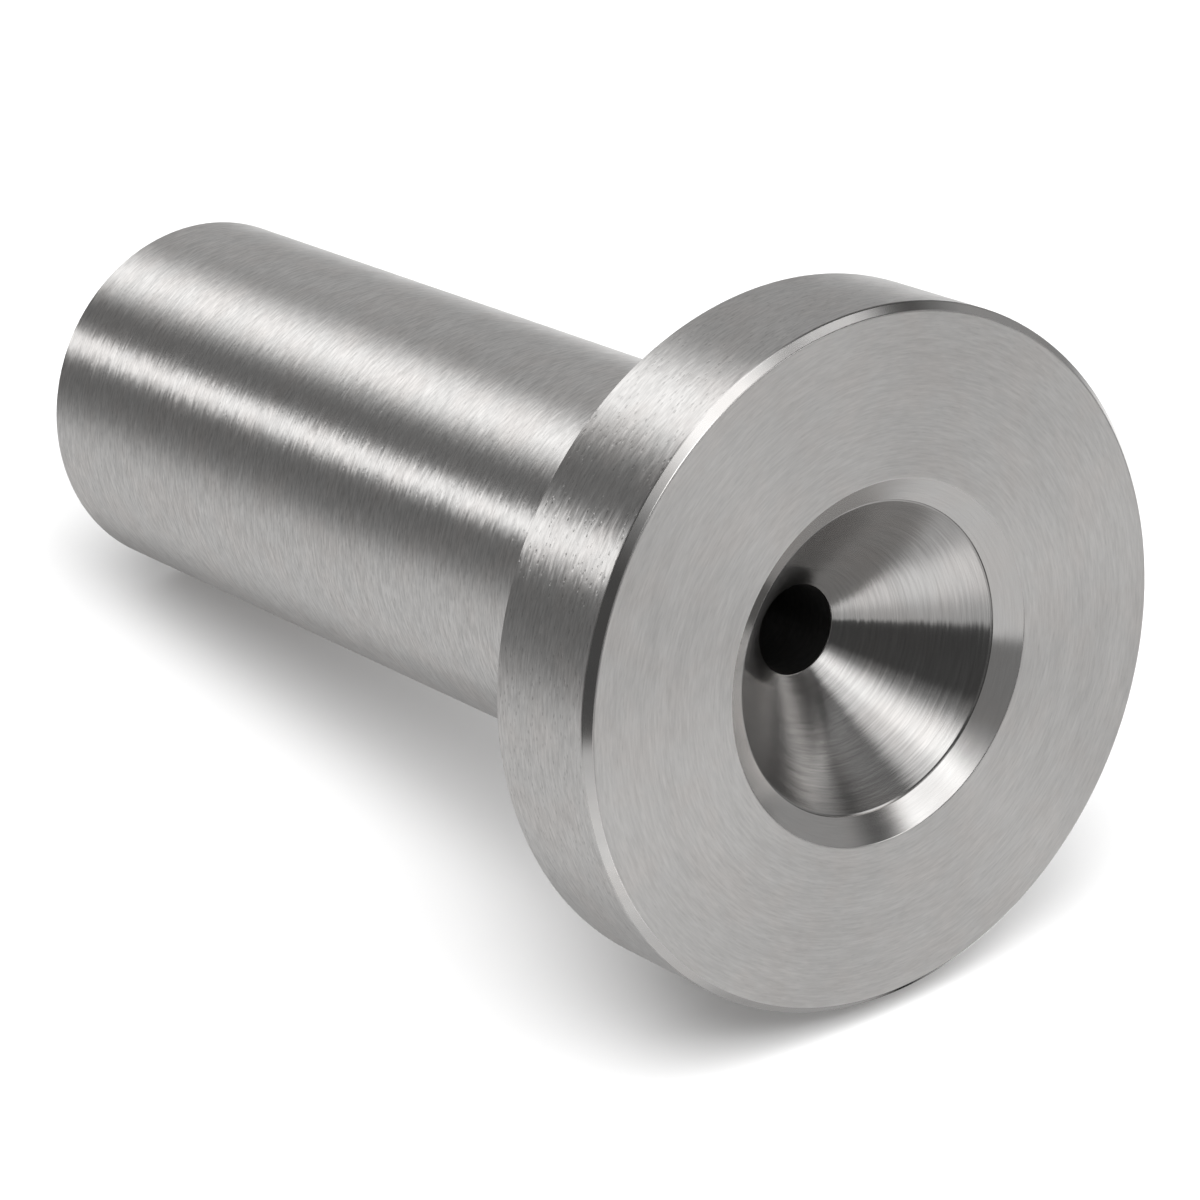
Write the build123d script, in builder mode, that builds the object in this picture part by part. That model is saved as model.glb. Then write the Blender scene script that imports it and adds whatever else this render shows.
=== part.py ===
import os
from math import radians, tan

from build123d import *

# Sizes of the turned blank, in millimetres
overall_length = 60.0
shank_diameter = 20.0
head_diameter = 35.0
head_thickness = 7.0
face_chamfer = 0.4
under_head_fillet = 0.3
rim_break = 0.08
edge_radius = 0.06

# Sizes of the nozzle seat and of the sprue channel
seat_diameter = 15.6
seat_angle = 90.0
mouth_chamfer_width = 1.3
mouth_chamfer_depth = 0.9
orifice_diameter = 4.5
channel_taper = 3.0
exit_chamfer = 0.15

# Places that follow from the sizes, with the shank end on the ground plane
head_underside = overall_length - head_thickness
shank_radius = shank_diameter / 2
head_radius = head_diameter / 2
seat_radius = seat_diameter / 2
orifice_radius = orifice_diameter / 2
mouth_radius = seat_radius + mouth_chamfer_width
seat_edge_z = overall_length - mouth_chamfer_depth
seat_depth = (seat_radius - orifice_radius) / tan(radians(seat_angle / 2))
orifice_z = seat_edge_z - seat_depth
exit_radius = orifice_radius + orifice_z * tan(radians(channel_taper / 2))


def circles_at(edges, z, radius):
    """The round edges of one radius at one height."""
    return edges.filter_by(GeomType.CIRCLE).filter_by(
        lambda edge: abs(edge.radius - radius) < 0.001 and abs(edge.arc_center.Z - z) < 0.001
    )


with BuildPart() as sprue_bushing:
    # Half section of the blank: the shank below and the head on top of it
    with BuildSketch(Plane.XZ):
        with BuildLine():
            Polyline(
                (0, 0),
                (shank_radius, 0),
                (shank_radius, head_underside),
                (head_radius, head_underside),
                (head_radius, overall_length),
                (0, overall_length),
                close=True,
            )
        make_face()
    revolve(axis=Axis.Z)

    # The corner under the head, the face chamfer with its two soft edges, and the
    # deburred rims of the head's underside and of the shank end
    fillet(circles_at(sprue_bushing.edges(), head_underside, shank_radius), under_head_fillet)
    chamfer(circles_at(sprue_bushing.edges(), overall_length, head_radius), face_chamfer)
    fillet(circles_at(sprue_bushing.edges(), overall_length - face_chamfer, head_radius), edge_radius)
    fillet(circles_at(sprue_bushing.edges(), overall_length, head_radius - face_chamfer), edge_radius)
    chamfer(circles_at(sprue_bushing.edges(), head_underside, head_radius), rim_break)
    chamfer(circles_at(sprue_bushing.edges(), 0, shank_radius), rim_break)

    # Nozzle seat and channel in one cut: mouth chamfer, cone, orifice and the
    # channel that widens from the orifice to the shank end
    with BuildSketch(Plane.XZ):
        with BuildLine():
            Polyline(
                (0, 0),
                (exit_radius, 0),
                (orifice_radius, orifice_z),
                (seat_radius, seat_edge_z),
                (mouth_radius, overall_length),
                (0, overall_length),
                close=True,
            )
        make_face()
    revolve(axis=Axis.Z, mode=Mode.SUBTRACT)

    # Soft edges round the seat, and a small chamfer where the channel comes out
    fillet(circles_at(sprue_bushing.edges(), overall_length, mouth_radius), edge_radius)
    fillet(circles_at(sprue_bushing.edges(), seat_edge_z, seat_radius), edge_radius)
    fillet(circles_at(sprue_bushing.edges(), orifice_z, orifice_radius), edge_radius)
    chamfer(circles_at(sprue_bushing.edges(), 0, exit_radius), exit_chamfer)

sprue_bushing.part.label = "sprue_bushing"

os.makedirs("parts", exist_ok=True)
export_step(sprue_bushing.part, "parts/sprue_bushing.step")

print(f"orifice at z {orifice_z:.3f}, channel exit diameter {2 * exit_radius:.3f}")
print(f"volume {sprue_bushing.part.volume:.1f} mm3")
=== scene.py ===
import math

import bmesh
import bpy
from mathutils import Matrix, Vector


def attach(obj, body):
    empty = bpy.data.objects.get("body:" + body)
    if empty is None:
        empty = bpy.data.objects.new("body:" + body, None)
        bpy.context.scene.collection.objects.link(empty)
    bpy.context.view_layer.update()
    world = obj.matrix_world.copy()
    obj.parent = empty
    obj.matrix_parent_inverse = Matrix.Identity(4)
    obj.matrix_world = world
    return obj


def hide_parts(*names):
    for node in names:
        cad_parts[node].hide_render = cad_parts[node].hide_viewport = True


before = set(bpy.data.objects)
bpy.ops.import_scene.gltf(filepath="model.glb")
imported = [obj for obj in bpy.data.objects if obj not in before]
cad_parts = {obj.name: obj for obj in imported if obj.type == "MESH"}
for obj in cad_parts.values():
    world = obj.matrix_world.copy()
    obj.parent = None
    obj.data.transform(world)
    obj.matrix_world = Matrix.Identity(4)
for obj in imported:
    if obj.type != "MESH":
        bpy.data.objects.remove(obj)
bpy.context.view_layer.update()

MM = 0.001
MICROMETRE = 1e-6

# Sizes of the bushing, in millimetres
OVERALL_LENGTH = 60.0
SHANK_RADIUS = 10.0
HEAD_RADIUS = 17.5
HEAD_UNDERSIDE = 53.0
FACE_CHAMFER = 0.4
UNDER_HEAD_FILLET = 0.3
RIM_BREAK = 0.08
SEAT_RADIUS = 7.8
SEAT_EDGE = 59.1
MOUTH_RADIUS = 9.1
ORIFICE_RADIUS = 2.25
ORIFICE_HEIGHT = 53.55
EXIT_RADIUS = 3.65
EXIT_CHAMFER = 0.15
EDGE_ROUNDING = 0.07

# The seat's edge steps down by this much, which draws the thin dark line round the cone. Its
# corners lie so many steps out and up from the edge.
SEAT_STEP = 0.04
SEAT_STEP_CORNERS = ((1.0, 0.7), (0.3, -0.8), (-1.7, -1.7))

# Steps round the axis, over the fillet and over each rounding, and how near two corners are one
TURNED_STEPS = 288
FILLET_STEPS = 5
ROUNDING_STEPS = 3
SAME_PLACE = 0.002

# Where one finish gives way to the next, in millimetres, and how level an end face is
SEAT_BEGINS = ORIFICE_HEIGHT + 0.03
CHANNEL_REACH = SEAT_RADIUS - 2.0
HEAD_SIDE_BEGINS = SHANK_RADIUS + 1.0
END_FACE_LEVEL = 0.75

# Directions in the standing frame: the photo's table leans against the bushing from behind
UPRIGHT = Vector((0.0, 0.0, 1.0))
FROM_TABLE = Vector((1.0, -1.0, 0.0)).normalized()


# Node helpers

def add_node(tree, kind, **settings):
    node = tree.nodes.new(kind)
    for name, value in settings.items():
        setattr(node, name, value)
    return node


def feed(tree, socket, value):
    """A number, a vector or another node's output goes into a socket."""
    if isinstance(value, bpy.types.NodeSocket):
        tree.links.new(value, socket)
    else:
        socket.default_value = value


def feed_named(tree, node, **values):
    """Each value goes into the socket of its name, where an underscore stands for a space."""
    for name, value in values.items():
        feed(tree, node.inputs[name.replace("_", " ")], value)


def maths(tree, operation, *values):
    node = add_node(tree, "ShaderNodeMath", operation=operation)
    for socket, value in zip(node.inputs, values):
        feed(tree, socket, value)
    return node.outputs[0]


def vector_maths(tree, operation, *values):
    node = add_node(tree, "ShaderNodeVectorMath", operation=operation)
    for socket, value in zip(node.inputs, values):
        feed(tree, socket, value)
    return node.outputs["Value"] if operation in ("LENGTH", "DOT_PRODUCT") else node.outputs[0]


def scaled(tree, vector, amount):
    node = add_node(tree, "ShaderNodeVectorMath", operation="SCALE")
    feed(tree, node.inputs[0], vector)
    feed(tree, node.inputs["Scale"], amount)
    return node.outputs[0]


def combined(tree, *parts):
    node = add_node(tree, "ShaderNodeCombineXYZ")
    for socket, value in zip(node.inputs, parts):
        feed(tree, socket, value)
    return node.outputs[0]


def remap(tree, value, low, high, to_low=0.0, to_high=1.0, smooth=True):
    kind = "SMOOTHSTEP" if smooth else "LINEAR"
    node = add_node(tree, "ShaderNodeMapRange", interpolation_type=kind)
    feed_named(tree, node, Value=value, From_Min=low, From_Max=high, To_Min=to_low, To_Max=to_high)
    return node.outputs["Result"]


def noise(tree, vector, scale=1.0, detail=2.0, roughness=0.5):
    node = add_node(tree, "ShaderNodeTexNoise", noise_dimensions="3D", normalize=True)
    feed_named(tree, node, Vector=vector, Scale=scale, Detail=detail, Roughness=roughness)
    return node.outputs["Fac"]


def mix_colours(tree, amount, first, second):
    """A Mix node has sockets of its own for colours, after those for numbers and vectors."""
    node = add_node(tree, "ShaderNodeMix", data_type="RGBA")
    for place, value in ((0, amount), (6, first), (7, second)):
        feed(tree, node.inputs[place], value)
    return node.outputs[2]


def mix_shaders(tree, amount, first, second):
    node = add_node(tree, "ShaderNodeMixShader")
    for socket, value in zip(node.inputs, (amount, first, second)):
        feed(tree, socket, value)
    return node.outputs[0]


def new_group(name, numbers, outputs):
    """An empty shader group with named numbers going in, and the sockets of its two end nodes."""
    group = bpy.data.node_groups.new(name, "ShaderNodeTree")
    for title, value in numbers.items():
        socket = group.interface.new_socket(title, in_out="INPUT", socket_type="NodeSocketFloat")
        socket.default_value = value
    for title, kind in outputs.items():
        group.interface.new_socket(title, in_out="OUTPUT", socket_type=kind)
    start = add_node(group, "NodeGroupInput")
    end = add_node(group, "NodeGroupOutput")
    return group, start.outputs, end.inputs


def place_group(tree, group, **values):
    node = add_node(tree, "ShaderNodeGroup", node_tree=group)
    feed_named(tree, node, **values)
    return node.outputs


# The bushing, turned ring by ring

def select_ring(mesh, radius, height):
    """Only the edges of the ring at this radius and height are left selected."""
    bpy.ops.mesh.select_all(action="DESELECT")
    body = bmesh.from_edit_mesh(mesh)
    for edge in body.edges:
        edge.select = all(
            abs(corner.co.xy.length / MM - radius) < SAME_PLACE
            and abs(corner.co.z / MM - height) < SAME_PLACE
            for corner in edge.verts
        )
    body.select_flush_mode()
    bmesh.update_edit_mesh(mesh)


def turn_section(mesh, section):
    """The ring at the section's start is drawn out through each radius and height in turn."""
    here_radius, here_height = section[0]
    select_ring(mesh, here_radius, here_height)
    for radius, height in section[1:]:
        bpy.ops.mesh.extrude_edges_move()
        growth = radius / here_radius
        bpy.ops.transform.translate(value=(0, 0, (height - here_height) * MM))
        bpy.ops.transform.resize(value=(growth, growth, 1), center_override=(0, 0, height * MM))
        here_radius, here_height = radius, height


def round_later(mesh, radius, height, share):
    """The Bevel modifier rounds this ring, by a share of its own width."""
    select_ring(mesh, radius, height)
    bpy.ops.transform.edge_bevelweight(value=share)


def turn_bushing():
    bpy.ops.object.select_all(action="DESELECT")
    middle = (SHANK_RADIUS, OVERALL_LENGTH / 2)
    bpy.ops.mesh.primitive_circle_add(
        vertices=TURNED_STEPS, radius=middle[0] * MM, location=(0, 0, middle[1] * MM)
    )
    bushing = bpy.context.object
    bushing.name = "turned_bushing"
    bpy.ops.object.transform_apply(location=True)
    mesh = bushing.data
    bpy.ops.object.mode_set(mode="EDIT")
    bpy.ops.mesh.select_mode(type="EDGE")
    seat_edge = [
        (SEAT_RADIUS + SEAT_STEP * out, SEAT_EDGE + SEAT_STEP * up) for out, up in SEAT_STEP_CORNERS
    ]
    turn_section(mesh, [
        middle,
        (SHANK_RADIUS, HEAD_UNDERSIDE),
        (HEAD_RADIUS - RIM_BREAK, HEAD_UNDERSIDE),
        (HEAD_RADIUS, HEAD_UNDERSIDE + RIM_BREAK),
        (HEAD_RADIUS, OVERALL_LENGTH - FACE_CHAMFER),
        (HEAD_RADIUS - FACE_CHAMFER, OVERALL_LENGTH),
        (MOUTH_RADIUS, OVERALL_LENGTH),
        *seat_edge,
        (ORIFICE_RADIUS, ORIFICE_HEIGHT),
        (EXIT_RADIUS, EXIT_CHAMFER),
        (EXIT_RADIUS + EXIT_CHAMFER, 0.0),
    ])
    turn_section(mesh, [
        middle,
        (SHANK_RADIUS, RIM_BREAK),
        (SHANK_RADIUS - RIM_BREAK, 0.0),
        (EXIT_RADIUS + EXIT_CHAMFER, 0.0),
    ])
    bpy.ops.mesh.select_all(action="SELECT")
    bpy.ops.mesh.remove_doubles(threshold=SAME_PLACE * MM)
    bpy.ops.mesh.normals_make_consistent(inside=False)
    select_ring(mesh, SHANK_RADIUS, HEAD_UNDERSIDE)
    bpy.ops.mesh.bevel(
        offset=UNDER_HEAD_FILLET * MM, segments=FILLET_STEPS, profile=0.5, affect="EDGES"
    )
    for radius, height in seat_edge:
        select_ring(mesh, radius, height)
        bpy.ops.mesh.mark_sharp()
    for radius, height, share in (
        (HEAD_RADIUS, OVERALL_LENGTH - FACE_CHAMFER, 1.0),
        (HEAD_RADIUS - FACE_CHAMFER, OVERALL_LENGTH, 1.0),
        (MOUTH_RADIUS, OVERALL_LENGTH, 0.8),
        (ORIFICE_RADIUS, ORIFICE_HEIGHT, 1.0),
        (HEAD_RADIUS - RIM_BREAK, HEAD_UNDERSIDE, 0.5),
        (HEAD_RADIUS, HEAD_UNDERSIDE + RIM_BREAK, 0.5),
        (SHANK_RADIUS, RIM_BREAK, 0.5),
        (SHANK_RADIUS - RIM_BREAK, 0.0, 0.5),
        (EXIT_RADIUS, EXIT_CHAMFER, 0.5),
        (EXIT_RADIUS + EXIT_CHAMFER, 0.0, 0.5),
    ):
        round_later(mesh, radius, height, share)
    bpy.ops.object.mode_set(mode="OBJECT")
    rounding = bushing.modifiers.new("edge rounding", "BEVEL")
    rounding.width = EDGE_ROUNDING * MM
    rounding.segments = ROUNDING_STEPS
    rounding.limit_method = "WEIGHT"
    rounding.use_clamp_overlap = False
    rounding.harden_normals = True
    bpy.ops.object.shade_smooth()
    bpy.ops.object.modifier_apply(modifier=rounding.name)
    return bushing


# Finishes of the steel

def turning_group():
    """Fine lines that follow the tool round the axis in short streaks, and small pits."""
    group, given, out = new_group(
        "Turning",
        {"Lines per mm": 8.0, "Streaks per mm": 1.0, "Sway": 0.05},
        {
            "Lines": "NodeSocketFloat",
            "Broad": "NodeSocketFloat",
            "Pits": "NodeSocketFloat",
            "Mottle": "NodeSocketFloat",
            "Swayed": "NodeSocketVector",
        },
    )
    place = add_node(group, "ShaderNodeTexCoord").outputs["Object"]
    in_mm = vector_maths(group, "MULTIPLY", place, (1 / MM, 1 / MM, 1 / MM))
    parts = add_node(group, "ShaderNodeSeparateXYZ")
    feed(group, parts.inputs[0], in_mm)
    x, y, z = parts.outputs
    flat = combined(group, x, y)
    radius = vector_maths(group, "LENGTH", flat)
    across = maths(group, "ADD", radius, z)

    def line_space(streaks, lines, shift):
        """A place in this space changes fast from line to line and slowly along each line."""
        spread = scaled(group, flat, maths(group, "MULTIPLY", given["Streaks per mm"], streaks))
        closeness = maths(group, "MULTIPLY", given["Lines per mm"], lines)
        along = maths(group, "MULTIPLY", across, closeness)
        lift = combined(group, 0.0, 0.0, maths(group, "ADD", along, shift))
        return vector_maths(group, "ADD", spread, lift)

    fine = line_space(streaks=1.0, lines=1.0, shift=0.0)
    feed(group, out["Lines"], noise(group, fine, roughness=0.7))
    broad = line_space(streaks=0.25, lines=0.12, shift=31.0)
    feed(group, out["Broad"], noise(group, broad))
    pits = add_node(group, "ShaderNodeTexVoronoi", voronoi_dimensions="3D", feature="F1")
    feed(group, pits.inputs["Vector"], line_space(streaks=1.6, lines=0.6, shift=13.0))
    feed(group, pits.inputs["Scale"], 1.0)
    feed(group, out["Pits"], remap(group, pits.outputs["Distance"], low=0.25, high=0.1))
    feed(group, out["Mottle"], noise(group, in_mm, scale=0.35, detail=4.0, roughness=0.55))
    # The normal sways a little along the line, so the bands of light get ragged edges
    wander = noise(group, line_space(streaks=0.9, lines=0.8, shift=87.0), detail=1.0, roughness=0.6)
    around = vector_maths(group, "NORMALIZE", flat)
    tangent = vector_maths(group, "CROSS_PRODUCT", tuple(UPRIGHT), around)
    amount = maths(group, "MULTIPLY", maths(group, "SUBTRACT", wander, 0.5), given["Sway"])
    sway = scaled(group, tangent, amount)
    normal = add_node(group, "ShaderNodeNewGeometry").outputs["Normal"]
    swayed = vector_maths(group, "NORMALIZE", vector_maths(group, "ADD", normal, sway))
    feed(group, out["Swayed"], swayed)
    return group


STEEL = (0.62, 0.61, 0.60)
STEEL_WARM = (0.625, 0.606, 0.592)
PIT_SHADE = 0.05
ROUGHNESS_SWING = 0.04
QUARTER_TURN = 0.25

# Most of a noise lies between these two values
NOISE_RANGE = (0.3, 0.7)

# Lines and streaks are counts per millimetre, and groove and pits are depths in micrometres. The
# seat
# and the channel get painted shade: their steel keeps only a share of its brightness, for the shade
# deep inside them.
FINISHES = {
    "turned_shank": dict(
        roughness=0.3, anisotropy=0.9, lines=8.0, streaks=1.1,
        sway=0.08, groove=3.0, shade=0.18, pits=2.0,
    ),
    "turned_head": dict(
        roughness=0.3, anisotropy=0.9, lines=8.0, streaks=1.1,
        sway=0.08, groove=3.0, shade=0.15, pits=4.0,
    ),
    "faced_ends": dict(
        roughness=0.42, anisotropy=0.85, lines=8.0, streaks=0.8,
        sway=0.03, groove=1.5, shade=0.08, pits=1.0,
    ),
    "cut_chamfer": dict(
        roughness=0.16, anisotropy=0.6, lines=8.0, streaks=0.6,
        sway=0.01, groove=0.2, shade=0.04,
    ),
    # The seat and the channel below get painted shade: their steel is darkened for the shade deep
    # inside them.
    "bored_seat": dict(
        roughness=0.16, anisotropy=0.9, lines=7.0, streaks=0.35,
        sway=0.06, groove=1.2, shade=0.12, painted_shade_share=0.7,
    ),
    "reamed_channel": dict(
        roughness=0.35, anisotropy=0.6, lines=6.0, streaks=1.0,
        sway=0.02, groove=0.6, shade=0.1, painted_shade_share=0.4,
    ),
}


def turned_steel(
    name, turning, roughness, anisotropy, lines, streaks, sway, groove, shade, pits=0.0, painted_shade_share=1.0
):
    """Bare steel as a lathe leaves it, with painted shade that darkens the colour deep in the seat
    and the channel.
    """
    material = bpy.data.materials.new(name)
    material.use_nodes = True
    tree = material.node_tree
    steel = tree.nodes["Principled BSDF"]
    marks = place_group(tree, turning, Lines_per_mm=lines, Streaks_per_mm=streaks, Sway=sway)

    # Painted shade: the colour is scaled down by the share given for the seat and the channel.
    plain, warm = (tuple(part * painted_shade_share for part in colour) + (1.0,) for colour in (STEEL, STEEL_WARM))
    mottled = remap(tree, marks["Mottle"], low=0.4, high=0.68)
    colour = mix_colours(tree, mottled, plain, warm)
    lined = remap(tree, marks["Lines"], *NOISE_RANGE, 1.0 - shade, 1.0 + shade, smooth=False)
    in_pits = maths(tree, "MULTIPLY", marks["Pits"], pits * PIT_SHADE)
    shaded = scaled(tree, colour, maths(tree, "SUBTRACT", lined, in_pits))
    feed(tree, steel.inputs["Base Color"], shaded)
    steel.inputs["Metallic"].default_value = 1.0
    swing = roughness * ROUGHNESS_SWING
    lowest, highest = roughness - swing, roughness + swing
    spread = remap(tree, marks["Broad"], *NOISE_RANGE, lowest, highest, smooth=False)
    feed(tree, steel.inputs["Roughness"], spread)

    steel.inputs["Anisotropic"].default_value = anisotropy
    steel.inputs["Anisotropic Rotation"].default_value = QUARTER_TURN
    tangent = add_node(tree, "ShaderNodeTangent", direction_type="RADIAL", axis="Z")
    feed(tree, steel.inputs["Tangent"], tangent.outputs[0])

    grooves = maths(tree, "MULTIPLY", marks["Lines"], groove)
    relief = maths(tree, "SUBTRACT", grooves, maths(tree, "MULTIPLY", marks["Pits"], pits))
    bump = add_node(tree, "ShaderNodeBump")
    feed_named(tree, bump, Strength=1.0, Distance=MICROMETRE, Height=relief, Normal=marks["Swayed"])
    feed(tree, steel.inputs["Normal"], bump.outputs["Normal"])
    return material


def finish_of(centre, normal):
    """The finish that a face takes, by its place and the way that it points."""
    radius, height = centre.xy.length / MM, centre.z / MM
    if abs(height - ORIFICE_HEIGHT) < EDGE_ROUNDING and radius > ORIFICE_RADIUS:
        return "cut_chamfer"
    if radius < SEAT_RADIUS + SEAT_STEP and height > SEAT_BEGINS:
        return "bored_seat"
    if radius < CHANNEL_REACH and height > EXIT_CHAMFER:
        return "reamed_channel"
    if height > SEAT_EDGE and radius < MOUTH_RADIUS:
        return "cut_chamfer"
    if height > OVERALL_LENGTH - FACE_CHAMFER and radius > HEAD_RADIUS - FACE_CHAMFER:
        return "cut_chamfer"
    if abs(normal.z) > END_FACE_LEVEL:
        return "faced_ends"
    return "turned_head" if radius > HEAD_SIDE_BEGINS else "turned_shank"


def finish_bushing(bushing):
    turning = turning_group()
    for name, settings in FINISHES.items():
        bushing.data.materials.append(turned_steel(name, turning, **settings))
    order = list(FINISHES)
    for face in bushing.data.polygons:
        face.material_index = order.index(finish_of(face.center, face.normal))
    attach(bushing, "root")
    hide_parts("sprue_bushing")


# The studio, painted round the bushing by direction

# The brightness between the panels, on a scale where 1 is white
STUDIO_DIM = 0.1

# Towards and Height are the azimuth and elevation of a panel's middle, in degrees. Lean moves the
# middle sideways as the elevation grows. Each half size reaches to the middle of a soft edge.
# Where panels overlap their strengths add up, and the shades take away.
PANELS = {
    "overhead strip": dict(
        Towards=-39.0, Lean=0.05, Height=-35.0, strength=2.1,
        Half_width=13.0, Half_height=35.0, Side_edge=10.0, End_edge=6.0,
    ),
    "overhead strip, middle": dict(
        Towards=-40.0, Height=20.5, strength=1.9,
        Half_width=17.0, Half_height=20.0, Side_edge=10.0, End_edge=5.0,
    ),
    "overhead strip, upper end": dict(
        Towards=-29.0, Height=51.0, strength=4.0,
        Half_width=17.0, Half_height=9.0, Side_edge=13.0, End_edge=4.0,
    ),
    "soft edge of the strip": dict(
        Towards=-2.0, Height=47.0, strength=0.8,
        Half_width=8.0, Half_height=4.0, Side_edge=10.0, End_edge=2.0,
    ),
    "far panel": dict(
        Towards=-203.0, Lean=2.6, Height=53.5, strength=2.4,
        Half_width=12.0, Half_height=6.0, Side_edge=6.0, End_edge=2.0,
    ),
    "low panel": dict(
        Towards=-136.0, Lean=3.0, Height=21.5, strength=2.0,
        Half_width=9.0, Half_height=5.0, Side_edge=4.0, End_edge=3.0,
    ),
    "wall by the far panel": dict(
        Towards=-100.0, Height=50.0, strength=2.1,
        Half_width=20.0, Half_height=6.0, Side_edge=8.0, End_edge=3.0,
    ),
    "dim wall below it": dict(
        Towards=-124.0, Height=12.0, strength=0.35,
        Half_width=20.0, Half_height=26.0, Side_edge=8.0, End_edge=8.0,
    ),
    "ceiling": dict(
        Towards=25.0, Height=68.0, strength=0.2,
        Half_width=50.0, Half_height=12.0, Side_edge=20.0, End_edge=6.0,
    ),
    "rim strip": dict(
        Towards=12.0, Height=-55.0, strength=2.1,
        Half_width=7.0, Half_height=35.0, Side_edge=4.0, End_edge=6.0,
    ),
    "dim wall between": dict(
        Towards=12.0, Height=-52.0, strength=0.12,
        Half_width=42.0, Half_height=35.0, Side_edge=5.0, End_edge=12.0,
    ),
    "back panel": dict(
        Towards=-157.0, Height=-40.0, strength=1.8,
        Half_width=23.0, Half_height=20.0, Side_edge=8.0, End_edge=8.0,
    ),
    "side fill": dict(
        Towards=-110.0, Height=-65.0, strength=0.75,
        Half_width=38.0, Half_height=25.0, Side_edge=12.0, End_edge=8.0,
    ),
    "pale ground": dict(
        Towards=118.0, Lean=0.12, Height=-8.0, strength=0.77,
        Half_width=57.0, Half_height=76.0, Side_edge=3.0, End_edge=8.0,
    ),
    "ground before the face": dict(
        Towards=-168.0, Height=40.0, strength=1.2,
        Half_width=13.0, Half_height=44.0, Side_edge=10.0, End_edge=14.0,
    ),
    "ground by the head": dict(
        Towards=163.0, Lean=-2.3, Height=27.0, strength=1.4,
        Half_width=8.0, Half_height=7.0, Side_edge=5.0, End_edge=4.0,
    ),
    "shade beside the bushing": dict(
        Towards=158.0, Height=-25.0, strength=-0.35,
        Half_width=25.0, Half_height=28.0, Side_edge=12.0, End_edge=10.0,
    ),
    "shade under the bushing": dict(
        Towards=158.0, Height=-65.0, strength=-0.7,
        Half_width=22.0, Half_height=16.0, Side_edge=10.0, End_edge=8.0,
    ),
}


def panel_group():
    """How much of a soft-edged panel lies in a direction."""
    group, given, out = new_group(
        "Light panel",
        {
            "Azimuth": 0.0,
            "Elevation": 0.0,
            "Towards": 0.0,
            "Lean": 0.0,
            "Height": 0.0,
            "Half width": 10.0,
            "Half height": 10.0,
            "Side edge": 3.0,
            "End edge": 8.0,
        },
        {"Share": "NodeSocketFloat"},
    )

    def covered(offset, half, edge):
        outer = maths(group, "ADD", given[half], given[edge])
        return remap(group, offset, outer, maths(group, "SUBTRACT", given[half], given[edge]))

    leaning = maths(group, "MULTIPLY", given["Elevation"], given["Lean"])
    middle = maths(group, "ADD", leaning, given["Towards"])
    sideways = maths(group, "PINGPONG", maths(group, "SUBTRACT", given["Azimuth"], middle), 180.0)
    above = maths(group, "SUBTRACT", given["Elevation"], given["Height"])
    across = covered(sideways, "Half width", "Side edge")
    along = covered(maths(group, "ABSOLUTE", above), "Half height", "End edge")
    feed(group, out["Share"], maths(group, "MULTIPLY", across, along))
    return group


def light_studio():
    """The steel mirrors the painted panels, and the camera sees plain white behind the bushing."""
    world = bpy.data.worlds.new("studio")
    bpy.context.scene.world = world
    world.use_nodes = True
    tree = world.node_tree
    tree.nodes.clear()
    direction = add_node(tree, "ShaderNodeTexCoord").outputs["Generated"]
    parts = add_node(tree, "ShaderNodeSeparateXYZ")
    feed(tree, parts.inputs[0], direction)
    azimuth = maths(tree, "DEGREES", maths(tree, "ARCTAN2", parts.outputs["Y"], parts.outputs["X"]))
    elevation = maths(tree, "DEGREES", maths(tree, "ARCSINE", parts.outputs["Z"]))
    panel = panel_group()
    brightness = STUDIO_DIM
    for settings in PANELS.values():
        place = {name: value for name, value in settings.items() if name != "strength"}
        share = place_group(tree, panel, Azimuth=azimuth, Elevation=elevation, **place)["Share"]
        brightness = maths(tree, "MULTIPLY_ADD", share, settings["strength"], brightness)
    studio = add_node(tree, "ShaderNodeBackground")
    feed(tree, studio.inputs["Strength"], brightness)
    white = add_node(tree, "ShaderNodeBackground")
    white.inputs["Color"].default_value = (1, 1, 1, 1)
    seen = add_node(tree, "ShaderNodeLightPath").outputs["Is Camera Ray"]
    either = mix_shaders(tree, seen, studio.outputs[0], white.outputs[0])
    output = add_node(tree, "ShaderNodeOutputWorld")
    feed(tree, output.inputs["Surface"], either)


# The sheets and their lamps, in metres and watts

SHEET_NORMAL = (FROM_TABLE * HEAD_UNDERSIDE + UPRIGHT * (HEAD_RADIUS - SHANK_RADIUS)).normalized()
SHEET_TOUCH = FROM_TABLE * -SHANK_RADIUS * MM
FLOOR_BEGINS = 10.05 * MM
FLOOR_FULL = 10.3 * MM
LAMP_AIM = UPRIGHT * OVERALL_LENGTH / 2 * MM


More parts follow.
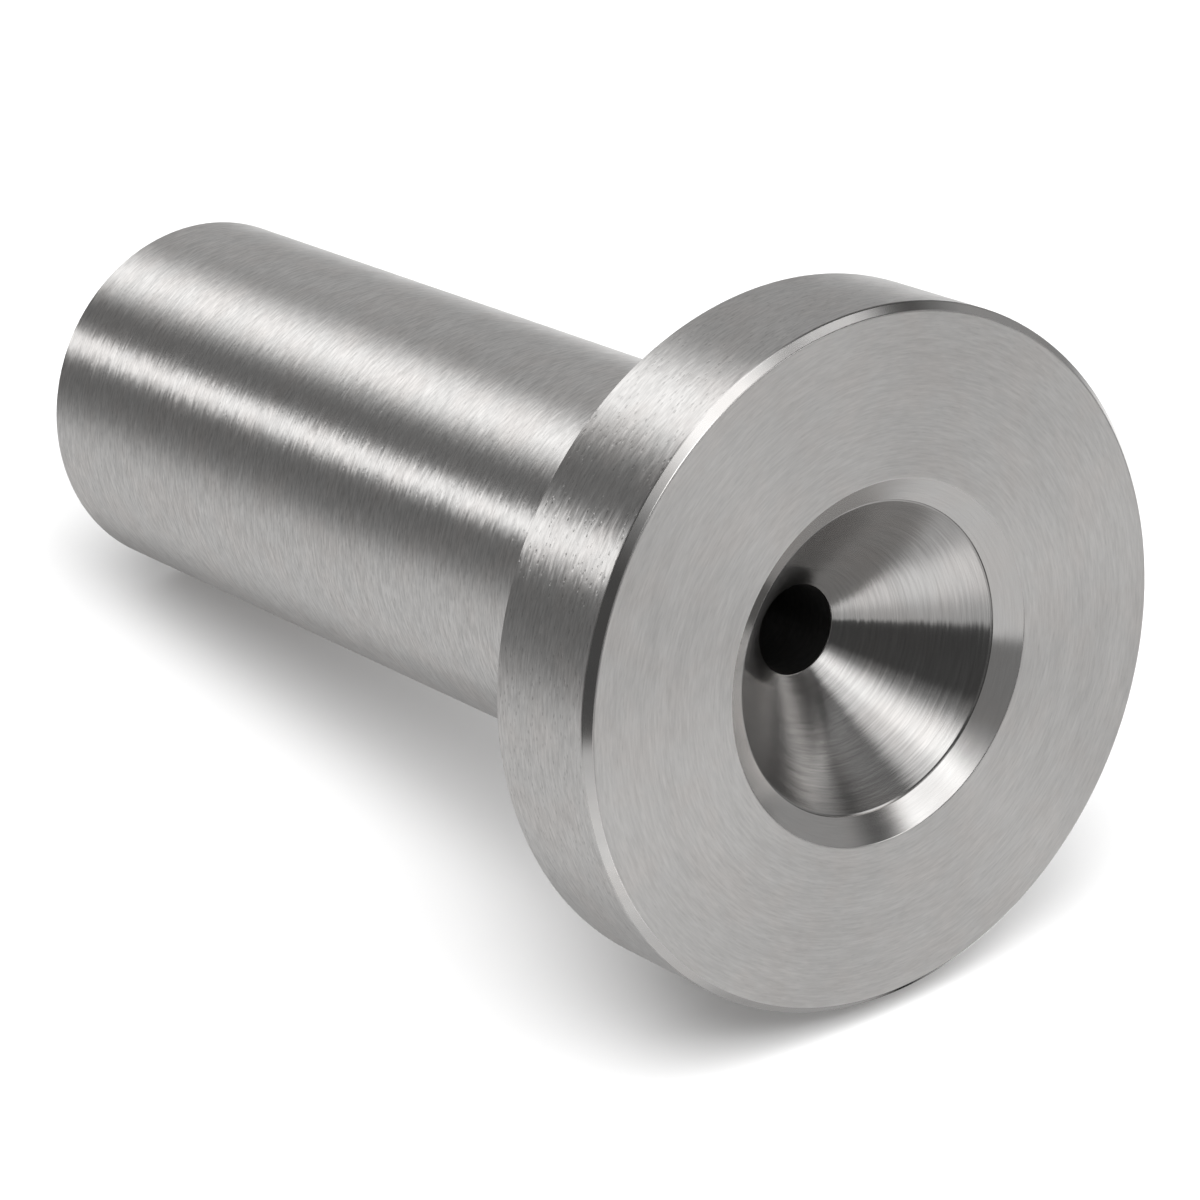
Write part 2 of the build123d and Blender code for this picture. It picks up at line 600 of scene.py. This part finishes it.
def pale_sheet(name, place, normal, half_size, share, glow=0.0, fades=False):
    """A sheet that catches the shadow. The lamps light its share of white; its glow is its own."""
    bpy.ops.object.select_all(action="DESELECT")
    turned = normal.to_track_quat("Z", "Y").to_euler()
    bpy.ops.mesh.primitive_plane_add(size=half_size * 2, location=place, rotation=turned)
    sheet = bpy.context.object
    sheet.name = name
    bpy.ops.object.transform_apply(location=True, rotation=True)
    material = bpy.data.materials.new(name)
    material.use_nodes = True
    tree = material.node_tree
    tree.nodes.clear()
    lit = add_node(tree, "ShaderNodeBsdfDiffuse")
    lit.inputs["Color"].default_value = (share, share, share, 1)
    own = add_node(tree, "ShaderNodeEmission")
    own.inputs["Strength"].default_value = glow
    both = add_node(tree, "ShaderNodeAddShader")
    feed(tree, both.inputs[0], lit.outputs[0])
    feed(tree, both.inputs[1], own.outputs[0])
    clear = add_node(tree, "ShaderNodeBsdfTransparent")
    back = add_node(tree, "ShaderNodeNewGeometry").outputs["Backfacing"]
    shown = maths(tree, "SUBTRACT", 1.0, back)
    if fades:
        # The floor begins behind the leaning sheet, which goes on below it in front
        place_on_floor = add_node(tree, "ShaderNodeTexCoord").outputs["Object"]
        behind = vector_maths(tree, "DOT_PRODUCT", place_on_floor, tuple(-FROM_TABLE))
        shown = maths(tree, "MULTIPLY", shown, remap(tree, behind, FLOOR_BEGINS, FLOOR_FULL))
    either = mix_shaders(tree, shown, clear.outputs[0], both.outputs[0])
    output = add_node(tree, "ShaderNodeOutputMaterial")
    feed(tree, output.inputs["Surface"], either)
    sheet.data.materials.append(material)
    # The steel mirrors the painted ground of the studio, so only the camera sees the sheet
    sheet.visible_diffuse = False
    sheet.visible_glossy = False
    sheet.visible_transmission = False
    sheet.visible_shadow = False
    return sheet


def soft_lamp(name, sheet, direction, distance, size, power):
    """A broad round lamp that lights one sheet, where the bushing casts its shadow."""
    bpy.ops.object.select_all(action="DESELECT")
    place = LAMP_AIM + direction.normalized() * distance
    turned = direction.to_track_quat("Z", "Y").to_euler()
    bpy.ops.object.light_add(type="AREA", location=place, rotation=turned)
    lamp = bpy.context.object
    lamp.name = name
    lamp.data.shape = "DISK"
    lamp.data.size = size
    lamp.data.energy = power
    lamp.visible_camera = False
    lamp.visible_glossy = False
    lit = bpy.data.collections.new(name + " lights")
    lit.objects.link(sheet)
    lamp.light_linking.receiver_collection = lit


def lay_sheets():
    leaning = pale_sheet("leaning_sheet", SHEET_TOUCH, SHEET_NORMAL, half_size=0.6, share=0.9)
    soft_lamp(
        "sheet_lamp", leaning, Vector((0.83, -0.31, 0.46)), distance=0.5, size=0.47, power=2.2
    )
    soft_lamp(
        "low_sheet_lamp", leaning, Vector((-0.18, -0.93, 0.32)), distance=0.5, size=0.47, power=1.3
    )
    floor = pale_sheet(
        "floor", Vector((0, 0, 0)), UPRIGHT, half_size=1.5, share=0.8, glow=0.4, fades=True
    )
    soft_lamp("floor_lamp", floor, Vector((0.4, -0.4, 0.8)), distance=0.6, size=0.4, power=3.6)


# The camera of the photograph. Its turn is in degrees, and its lens and sensor in millimetres.

CAMERA_PLACE = Vector((143.463, 27.878, 209.179)) * MM
CAMERA_TURN = (-18.302, -37.008, -141.124)
LENS = 131.83
SENSOR_WIDTH = 36.0
NEAREST_SEEN = 10.0 * MM
FARTHEST_SEEN = 20000.0 * MM


def place_camera():
    turned = [math.radians(angle) for angle in CAMERA_TURN]
    bpy.ops.object.camera_add(location=CAMERA_PLACE, rotation=turned)
    camera = bpy.context.object
    camera.name = "camera"
    camera.data.sensor_width = SENSOR_WIDTH
    camera.data.lens = LENS
    camera.data.clip_start = NEAREST_SEEN
    camera.data.clip_end = FARTHEST_SEEN
    bpy.context.scene.camera = camera


finish_bushing(turn_bushing())
light_studio()
lay_sheets()
place_camera()
bpy.context.scene.view_settings.view_transform = "Standard"
